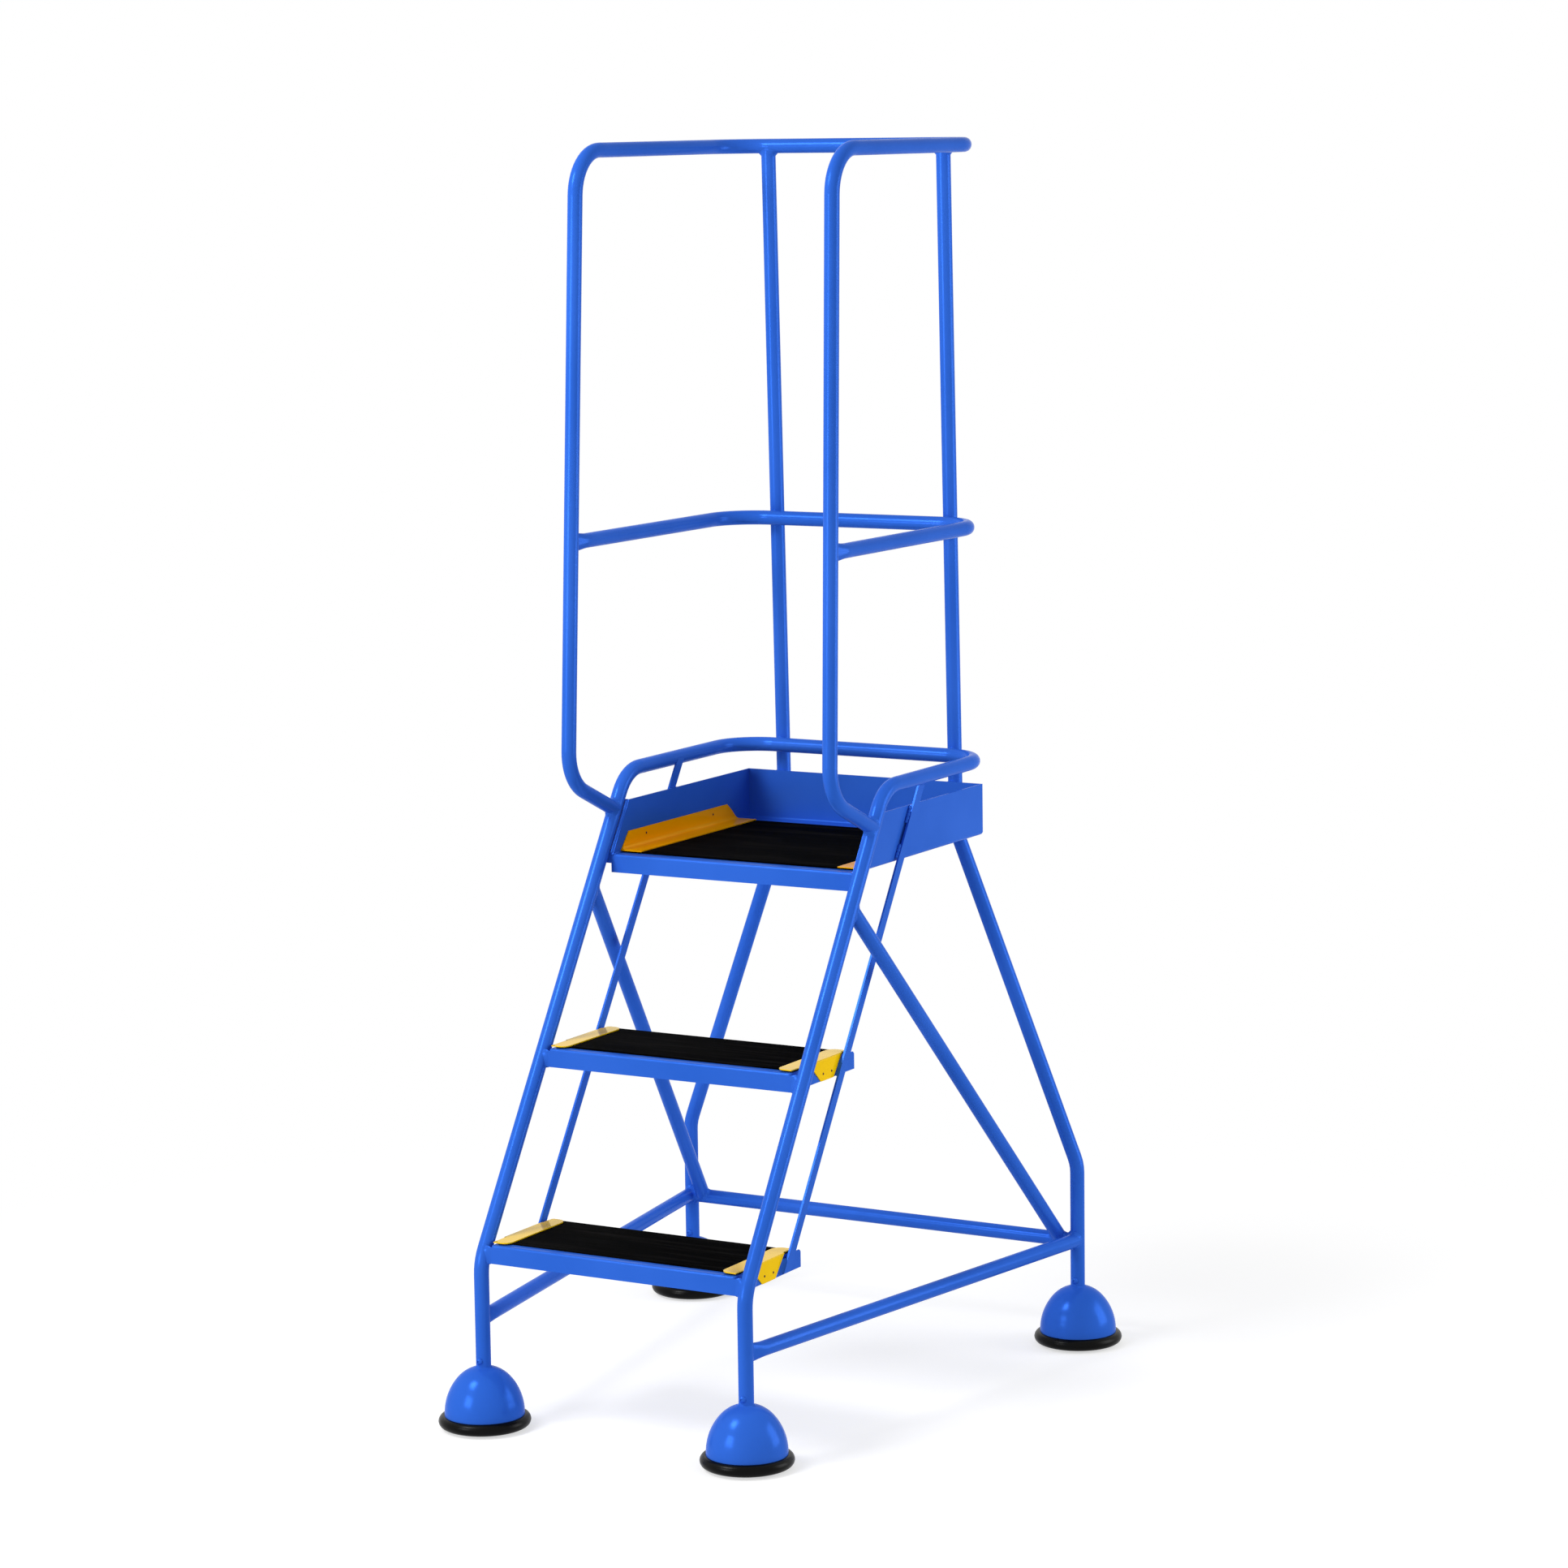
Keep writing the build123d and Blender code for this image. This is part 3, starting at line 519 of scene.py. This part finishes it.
# for every angle round the branch its skin is followed back until it enters one of the main tubes;
# a curved strip then joins the two skins there, and closes inside the metal
def ringWeld(branchFrom, branchTo, mains, leg=weld["leg"], crushed=False):
    start = np.array(branchFrom)
    ahead = unit(np.array(branchTo) - start)
    level = np.cross(ahead, [0.0, 0.0, 1.0])
    isUpright = np.linalg.norm(level) < weld["uprightUnder"]
    across = np.array([1.0, 0.0, 0.0]) if isUpright else unit(level)
    over = np.cross(across, ahead)
    radius, angle = tube["radius"], fullTurn(weld["around"])

    # a crushed end is an oval that turns into the round tube along a smooth step
    def skin(t, sink=0.0):
        way = np.clip(t / tube["crushedLength"], 0, 1) if crushed else 1.0
        share = way * way * (3 - 2 * way)
        wide = tube["crushedWide"] / 2 + (radius - tube["crushedWide"] / 2) * share
        tall = tube["crushedTall"] / 2 + (radius - tube["crushedTall"] / 2) * share
        sideways = ((wide - sink) * np.cos(angle))[:, None] * across
        upwards = ((tall - sink) * np.sin(angle))[:, None] * over
        return start + t[:, None] * ahead + sideways + upwards

    # the shortest way to each point from the line of the nearest main tube
    def fromMain(points):
        aways = []
        for mainFrom, mainTo in mains:
            along = unit(np.array(mainTo) - np.array(mainFrom))
            away = points - np.array(mainFrom)
            aways.append(away - (away @ along)[:, None] * along)
        nearest = np.argmin([np.linalg.norm(away, axis=1) for away in aways], axis=0)
        return np.stack(aways)[nearest, np.arange(len(points))]

    low, high = np.zeros(weld["around"]), np.full(weld["around"], weld["searchReach"])
    for step in range(weld["searchSteps"]):
        middle = (low + high) / 2
        inside = np.linalg.norm(fromMain(skin(middle)), axis=1) < radius
        low, high = np.where(inside, middle, low), np.where(inside, high, middle)
    seam = skin(high)
    following = np.roll(seam, -1, axis=0)
    outward = unit(fromMain(seam))
    aside = unit(np.cross(following - np.roll(seam, 1, axis=0), outward))
    spread = seam - (start + high[:, None] * ahead)
    aside = aside if (aside * spread).sum() > 0 else -aside
    length = np.linalg.norm(following - seam, axis=1).sum()
    ripple = weld["ripple"] * np.sin(angle * round(length / weld["ripplePitch"]))
    branchFoot = skin(high + leg, weld["sink"])
    reach = seam + aside * leg
    toReach = fromMain(reach)
    mainFoot = reach - toReach + unit(toReach) * (radius - weld["sink"])
    middle = (branchFoot + mainFoot) / 2
    lift = unit(middle - (seam - outward * weld["liftBack"]))
    crown = seam + (middle - seam) * weld["fullness"] + lift * ripple[:, None]
    share = np.linspace(0, 1, weld["across"])[None, :, None]
    strip = pulledCurve(share, branchFoot[:, None], crown[:, None], mainFoot[:, None])
    root = (seam - outward * weld["rootBack"])[:, None]
    return gridPart(np.concatenate([strip, root], axis=1), closeRows=True)


valley = {
    "halfWidth": 0.0085, "rise": 0.0095, "railTurn": 0.95, "railSink": 0.0003, "postSink": 0.0004,
    "rootLift": 0.002, "crownOut": 0.45, "crownUp": 0.7, "stations": 33,
}


# a bead in the valley where a level rail touches an upright: strips from the rail's skin to the
# upright's, shrinking to a point at both ends
def valleyWeld(railY, railZ, lift):
    radius, turn = tube["radius"], valley["railTurn"]
    side = np.linspace(-1, 1, valley["stations"])[:, None]
    swell = np.sqrt(np.maximum(1 - side ** 2, 0))
    aside = side * valley["halfWidth"]
    startY = railY + radius * math.cos(turn) - valley["railSink"]
    startZ = railZ + lift * radius * math.sin(turn)
    front = np.sqrt(np.maximum(radius ** 2 - aside ** 2, 0))
    postZ = railZ + lift * (valley["rise"] + valley["rootLift"])
    postY = uprightY(postZ) - front + valley["postSink"]
    rootY = railY + radius + (radius - front)
    rootZ = railZ + lift * valley["rootLift"]
    crownY = rootY + ((startY + postY) / 2 - rootY) * valley["crownOut"]
    crownZ = rootZ + ((startZ + postZ) / 2 - rootZ) * valley["crownUp"]
    share = np.linspace(0, 1, weld["across"])
    y = rootY + (pulledCurve(share, startY, crownY, postY) - rootY) * swell
    z = rootZ + (pulledCurve(share, startZ, crownZ, postZ) - rootZ) * swell
    y, z = np.column_stack([y, rootY]), np.column_stack([z, np.full_like(rootY, rootZ)])
    return gridPart(gridPoints(tube["uprightX"] + aside, y, z))


rope = {"steps": 48, "sides": 20}


# a round bead carried along a line of points, thickened and thinned by ripples, and drawn to a
# point at its ends
def ropeWeld(path, thickness, waves=weld["ripple"], pitch=weld["ripplePitch"]):
    run = np.append(0, np.cumsum(np.linalg.norm(np.diff(path, axis=0), axis=1)))
    steps = np.linspace(0, run[-1], rope["steps"])
    centre = np.stack([np.interp(steps, run, path[:, axis]) for axis in range(3)], -1)
    heading = unit(np.gradient(centre, axis=0))
    side = unit(np.cross(heading, [1.0, 0.0, 0.0]))
    over = np.cross(side, heading)
    ends = np.clip(np.minimum(steps, run[-1] - steps) / thickness, 0, 1)
    ripple = waves * np.sin(2 * np.pi * steps / pitch) * ends
    size = (thickness * np.sqrt(1 - (1 - ends) ** 2) + ripple)[:, None, None]
    around = fullTurn(rope["sides"])[None, :, None]
    spokes = side[:, None] * np.cos(around) + over[:, None] * np.sin(around)
    return gridPart(centre[:, None] + size * spokes)


# two points on a tube's middle line stand for the tube
def lineUp(x, y):
    return (x, y, 0.0), (x, y, 1.0)


def lineAcross(y, z):
    return (0.0, y, z), (1.0, y, z)


def onStringer(z):
    return tube["legX"], stringerY(z), z


legX, legY, baseZ, crossY = tube["legX"], tube["legY"], tube["baseZ"], tube["crossY"]
topZ, midZ = tube["topZ"], tube["midZ"]
postFoot = (legX, tube["postFootY"], tube["postFootZ"])
postTop = (tube["topX"], tube["topFrontY"], topZ)
midShare = (midZ - tube["postFootZ"]) / (topZ - tube["postFootZ"])
midSeatY = tube["postFootY"] + (tube["topFrontY"] - tube["postFootY"]) * midShare
midSeat = (tube["midX"], midSeatY, midZ)
railBack = 2 * tube["radius"] + tube["touchGap"]
midCorner = (tube["midX"], uprightY(midZ) - railBack, midZ)
railFront, railRear = (legX, legY, baseZ), (tube["rearX"], tube["rearY"], baseZ)
braceTop = onStringer(tube["braceTopZ"])
braceFoot = (tube["braceFootX"], crossY, baseZ)
uprightTop = (tube["uprightX"], tube["topRearY"], topZ)
uprightLow = (tube["uprightX"], uprightY(midZ), midZ)

stringer, baseRail = (onStringer(0.0), onStringer(1.0)), (railFront, railRear)
frontLeg, rearLeg = lineUp(legX, legY), lineUp(tube["rearX"], tube["rearY"])
crossRail, topRail = lineAcross(crossY, baseZ), lineAcross(tube["topRearY"], topZ)

guardWelds = [
    ringWeld(onStringer(tube["handrailJointZ"]), postFoot, [stringer], weld["wideLeg"]),
    ringWeld(midSeat, midCorner, [(postFoot, postTop)], weld["crushedLeg"], crushed=True),
    ringWeld(uprightTop, uprightLow, [topRail], weld["wideLeg"]),
]
for railZ in (midZ, tube["lowZ"]):
    guardWelds += [valleyWeld(uprightY(railZ) - railBack, railZ, lift) for lift in (1.0, -1.0)]
weldPiece("guardRailWelds", bothSides(guardWelds))

baseWelds = [
    ringWeld(railFront, railRear, [frontLeg], weld["crushedLeg"], crushed=True),
    ringWeld(railRear, railFront, [rearLeg]),
    ringWeld((tube["rearX"], crossY, baseZ), (0.0, crossY, baseZ), [baseRail, rearLeg]),
    ringWeld(braceTop, braceFoot, [stringer]),
    ringWeld(braceFoot, braceTop, [crossRail]),
]
weldPiece("baseWelds", bothSides(baseWelds))
print("frame welds laid")

# the ends of the treads' front flanges are welded to the stringers, and so are the kick boards' front
# ends; a tread's row gives the flange's face, and the weld's lowest and highest point
treadWeld = {
    "onFlange": 0.1968, "sunk": 0.0001, "proud": 0.0008, "bridgeX": 0.2045,
    "legTurn": 0.5, "leastTurn": 0.2, "mostTurn": 1.15, "mostMeet": 0.95,
    "rootBack": 0.0015, "rootIn": 0.0005, "sink": 0.0007, "taper": 0.12, "stations": 40,
    "rises": ((-0.3862, 0.2353, 0.2625), (-0.2262, 0.4853, 0.5125)),
}
boardWeld = {"x": 0.2005, "behind": 0.0062, "rise": (0.7665, 0.8385), "thickness": 0.0021}


# grows from nothing to full over the taper at both ends, along a quarter circle
def roundedEnds(count, taper):
    share = np.linspace(0, 1, count)
    ends = np.clip(np.minimum(share, 1 - share) / taper, 0, 1)
    return np.sqrt(1 - (1 - ends) ** 2)[:, None]


# at each height a hollow strip runs from the flange's face to the stringer's skin a little way
# round it, and closes behind, inside the metal
def flangeWeld(front, low, high):
    z = np.linspace(low, high, treadWeld["stations"])[:, None]
    swell = roundedEnds(len(z), treadWeld["taper"])
    radius, axisY = tube["radius"], legAxisY(z)
    stretch = np.sqrt(1 + np.gradient(axisY[:, 0], z[:, 0])[:, None] ** 2)
    most = treadWeld["mostMeet"]
    meet = np.arcsin(np.clip((axisY - front) / (radius * stretch), -most, most))
    turn = np.clip(meet + treadWeld["legTurn"], treadWeld["leastTurn"], treadWeld["mostTurn"])
    under = radius - treadWeld["sink"]
    toX, toY = legX - under * np.cos(turn), axisY - under * stretch * np.sin(turn)
    cornerX = np.minimum(legX - radius * np.cos(meet), treadWeld["bridgeX"])
    rootX, rootY = cornerX + treadWeld["rootIn"], front + treadWeld["rootBack"]
    share = np.linspace(0, 1, weld["across"])
    x = pulledCurve(share, treadWeld["onFlange"], cornerX, toX)
    y = pulledCurve(share, front + treadWeld["sunk"], front - treadWeld["proud"], toY)
    x, y = np.column_stack([x, rootX]), np.column_stack([y, np.full_like(z, rootY)])
    return gridPart(gridPoints(rootX + (x - rootX) * swell, rootY + (y - rootY) * swell, z))


treadWelds = [flangeWeld(*rise) for rise in treadWeld["rises"]]
z = np.array(boardWeld["rise"])
boardPath = gridPoints(boardWeld["x"], stringerY(z) + boardWeld["behind"], z)
treadWelds.append(ropeWeld(boardPath, boardWeld["thickness"]))
weldPiece("treadWelds", bothSides(treadWelds))

# welds where the tie bars cross the tread sides and the kick boards; a tread's row gives the weld's
# lowest and highest point, and how far it reaches in front of the bar and behind it
bar = {
    "slope": 0.654, "lowY": -0.217, "lowZ": 0.303, "half": 0.00896,
    "outX": 0.2051, "treadX": 0.1976, "hollowX": 0.2012, "hollowReach": 0.15, "rootIn": 0.001,
    "taper": 0.2, "stations": 32,
    "treadRises": ((0.2412, 0.2605, 0.0065, 0.0035), (0.4875, 0.5105, 0.0008, 0.0035)),
    "boardX": 0.2008, "bead": 0.0025, "waves": 0.0004, "pitch": 0.0056,
    "boardRises": ((0.7685, 0.7875), (0.8153, 0.8385)),
}


# half the bar's width before and behind its sloping middle line
def barEdges(z):
    middle = bar["lowY"] + (z - bar["lowZ"]) * bar["slope"]
    return middle - bar["half"], middle + bar["half"]


# at each height a hollow strip runs from the bar's outer edge down to the tread's side, and closes
# inside the bar
def barFillet(z, edgeY, away, reach):
    swell = roundedEnds(len(z), bar["taper"])
    hollowX, rootIn = bar["hollowX"], bar["rootIn"]
    share = np.linspace(0, 1, weld["across"])
    x = np.append(pulledCurve(share, bar["outX"], hollowX, bar["treadX"]), hollowX)
    run = np.append(pulledCurve(share, 0.0, bar["hollowReach"], 1.0) * reach, -rootIn)
    y = edgeY[:, None] + away * (-rootIn + (run + rootIn) * swell)
    return gridPart(gridPoints(hollowX + (x - hollowX) * swell, y, z[:, None]))


barWelds = []
for low, high, frontReach, rearReach in bar["treadRises"]:
    z = np.linspace(low, high, bar["stations"])
    frontY, rearY = barEdges(z)
    barWelds += [barFillet(z, frontY, -1.0, frontReach), barFillet(z, rearY, 1.0, rearReach)]
for rise in bar["boardRises"]:
    z = np.array(rise)
    paths = [gridPoints(bar["boardX"], edgeY, z) for edgeY in barEdges(z)]
    barWelds += [ropeWeld(path, bar["bead"], bar["waves"], bar["pitch"]) for path in paths]
weldPiece("tieBarWelds", bothSides(barWelds))
print("tread and tie bar welds laid")

# painted weld round each leg where it stands on its dome
collar = {
    "legZ": 0.0893, "legR": 0.0105, "midZ": 0.0879, "midR": 0.0118,
    "domeZ": 0.0863, "domeR": 0.0152, "rootZ": 0.0862, "rootR": 0.0106, "around": 96, "across": 10,
}


# a sagging curve from the leg's skin to the dome's, turned about the leg
def collarPart(x, y):
    share = np.linspace(0, 1, collar["across"])
    r = pulledCurve(share, collar["legR"], collar["midR"], collar["domeR"])
    z = pulledCurve(share, collar["legZ"], collar["midZ"], collar["domeZ"])
    r, z = np.append(r, collar["rootR"]), np.append(z, collar["rootZ"])
    return turnedPart(x, y, r, z, collar["around"])


weldPiece("domeCollars", [collarPart(x, y) for x, y in feet.values()])

# heads of the clamp screws and of the rivets in the clips and guards
head = {"profile": 14, "pole": 1e-4, "dimpleTaper": 0.85}
screw = {
    "z": 0.0975, "gap": 0.00005, "radius": 0.005, "height": 0.0032,
    "dimple": 0.0019, "depth": 0.0012, "shank": 0.0024, "length": 0.0035, "around": 48,
}
rivet = {
    "radius": 0.0018, "height": 0.0007,
    "dimple": 0.0006, "depth": 0.0004, "shank": 0.0012, "around": 28,
    "clipX": 0.19925, "clipLength": 0.0034, "guardX": 0.19525, "guardLength": 0.0026,
    "clipPlaces": ((-0.3092, 0.247), (-0.2852, 0.247), (-0.1382, 0.497), (-0.1142, 0.497)),
    "guardPlaces": ((0.0463, 0.7845), (0.2378, 0.7845)),
}


# a dome profile turned about an axis, with a dimple in its crown and a short shank behind it
def headPart(centre, axis, shape, length):
    radius, height, shank = shape["radius"], shape["height"], shape["shank"]
    dimple, pole = shape["dimple"], head["pole"]
    bend = np.linspace(0, np.pi / 2, head["profile"])
    keep = radius * np.cos(bend) > dimple
    rim = height * math.sqrt(1 - (dimple / radius) ** 2)
    bottom = rim - shape["depth"]
    r = np.concatenate([[shank * pole, shank, shank, radius], radius * np.cos(bend)[keep],
                        [dimple, dimple * head["dimpleTaper"], dimple * pole]])
    h = np.concatenate([[-length, -length, 0.0, 0.0], height * np.sin(bend)[keep],
                        [rim, bottom, bottom]])
    axis = np.array(axis)
    across = np.cross(axis, [0.0, 0.0, 1.0])
    over = np.cross(axis, across)
    turn = fullTurn(shape["around"])[None, :, None]
    spokes = across * np.cos(turn) + over * np.sin(turn)
    points = np.array(centre) + h[:, None, None] * axis + r[:, None, None] * spokes
    return gridPart(points, capEnds=True)


screwHeads = []
for x, y in feet.values():
    seat = (x, y - tube["radius"] - screw["gap"], screw["z"])
    screwHeads.append(headPart(seat, (0.0, -1.0, 0.0), screw, screw["length"]))
piece = makePiece("clampScrews", screwHeads, bluePaint)
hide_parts("clamp_screws")

rivetHeads = []
for x, places, length in (
    (rivet["clipX"], rivet["clipPlaces"], rivet["clipLength"]),
    (-rivet["guardX"], rivet["guardPlaces"], rivet["guardLength"]),
):
    rivetHeads += [headPart((x, y, z), (1.0, 0.0, 0.0), rivet, length) for y, z in places]
piece = makePiece("clipRivets", bothSides(rivetHeads), rivetSteel)
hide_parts("clip_rivets")
print("collars, screws and rivets set")

# camera
camera = {
    "place": (3.2797, -5.6178, 1.8263), "turn": 29.790, "pitch": 8.334, "roll": -0.8095,
    "lens": 105.77, "sensor": 36.0,
}
cameraData = bpy.data.cameras.new("photoCamera")
cameraData.sensor_width = camera["sensor"]
cameraData.lens = camera["lens"]
cameraObject = bpy.data.objects.new("photoCamera", cameraData)
bpy.context.scene.collection.objects.link(cameraObject)
spin = Matrix.Rotation(math.radians(camera["turn"]), 4, "Z")
tilt = Matrix.Rotation(math.radians(90 - camera["pitch"]), 4, "X")
cant = Matrix.Rotation(math.radians(camera["roll"]), 4, "Z")
cameraObject.matrix_world = Matrix.Translation(camera["place"]) @ spin @ tilt @ cant
bpy.context.scene.camera = cameraObject

# floor: the camera sees it white but for the soft shadow, and white all over further out
floor = {"half": 40.0, "fade": (0.85, 1.7), "plain": 0.8, "shade": 0.52, "glow": 0.6}


def cameraOrMirror(tree):
    path = tree.nodes.new("ShaderNodeLightPath").outputs
    seen = mathNode(tree, "MAXIMUM", path["Is Camera Ray"], path["Is Glossy Ray"])
    return mathNode(tree, "MAXIMUM", seen, path["Is Transmission Ray"])


def mixShaders(tree, share, first, second):
    mix = tree.nodes.new("ShaderNodeMixShader")
    for socket, value in zip(mix.inputs, (share, first, second)):
        tree.links.new(value, socket)
    return mix.outputs[0]


def matte(tree, level):
    shader = tree.nodes.new("ShaderNodeBsdfDiffuse")
    shader.inputs["Color"].default_value = (level, level, level, 1)
    return shader.outputs[0]


def floorMaterial():
    material = bpy.data.materials.new("paleFloor")
    material.use_nodes = True
    tree = material.node_tree
    tree.nodes.clear()
    glow = tree.nodes.new("ShaderNodeEmission")
    glow.inputs["Strength"].default_value = floor["glow"]
    white = tree.nodes.new("ShaderNodeEmission")
    near = tree.nodes.new("ShaderNodeAddShader")
    tree.links.new(matte(tree, floor["shade"]), near.inputs[0])
    tree.links.new(glow.outputs[0], near.inputs[1])
    distance = tree.nodes.new("ShaderNodeVectorMath")
    distance.operation = "LENGTH"
    tree.links.new(objectPlace(tree), distance.inputs[0])
    fade = between(tree, distance.outputs["Value"], 0.0, 1.0, floor["fade"])
    seen = mixShaders(tree, fade, near.outputs[0], white.outputs[0])
    surface = mixShaders(tree, cameraOrMirror(tree), matte(tree, floor["plain"]), seen)
    output = tree.nodes.new("ShaderNodeOutputMaterial")
    tree.links.new(surface, output.inputs["Surface"])
    return material


half = floor["half"]
floorCorners = [(-half, -half, 0), (half, -half, 0), (half, half, 0), (-half, half, 0)]
floorMesh = bpy.data.meshes.new("floor")
floorMesh.from_pydata(floorCorners, [], [(0, 1, 2, 3)])
floorMesh.materials.append(floorMaterial())
floorObject = bpy.data.objects.new("floor", floorMesh)
bpy.context.scene.collection.objects.link(floorObject)

# light: two soft boxes to the left of the camera, one above the other, and a tall one to the right
# and behind; each lamp's row gives its place, width and height, and watts
studio = {
    "worldLevel": 0.45, "aim": (0.0, 0.0, 0.85),
    "lamps": {
        "highBox": ((-1.35, -2.1, 3.3), (1.1, 1.1), 71.0),
        "lowBox": ((-1.35, -3.6, 1.5), (1.35, 1.35), 44.0),
        "sideBox": ((2.75, 1.45, 1.2), (1.6, 2.0), 42.0),
    },
}
world = bpy.data.worlds.new("studio")
bpy.context.scene.world = world
world.use_nodes = True
tree = world.node_tree
tree.nodes.clear()
dim = tree.nodes.new("ShaderNodeBackground")
dim.inputs["Strength"].default_value = studio["worldLevel"]
bright = tree.nodes.new("ShaderNodeBackground")
for shader in (dim, bright):
    shader.inputs["Color"].default_value = (1, 1, 1, 1)
output = tree.nodes.new("ShaderNodeOutputWorld")
sky = mixShaders(tree, cameraOrMirror(tree), dim.outputs[0], bright.outputs[0])
tree.links.new(sky, output.inputs["Surface"])
for name, (place, size, power) in studio["lamps"].items():
    lamp = bpy.data.lights.new(name, "AREA")
    lamp.shape = "RECTANGLE"
    lamp.size, lamp.size_y = size
    lamp.energy = power
    lampObject = bpy.data.objects.new(name, lamp)
    bpy.context.scene.collection.objects.link(lampObject)
    back = Vector(place) - Vector(studio["aim"])
    lampObject.rotation_euler = back.to_track_quat("Z", "Y").to_euler()
    lampObject.location = place
bpy.context.scene.view_settings.view_transform = "Standard"
print("camera, floor and light set")
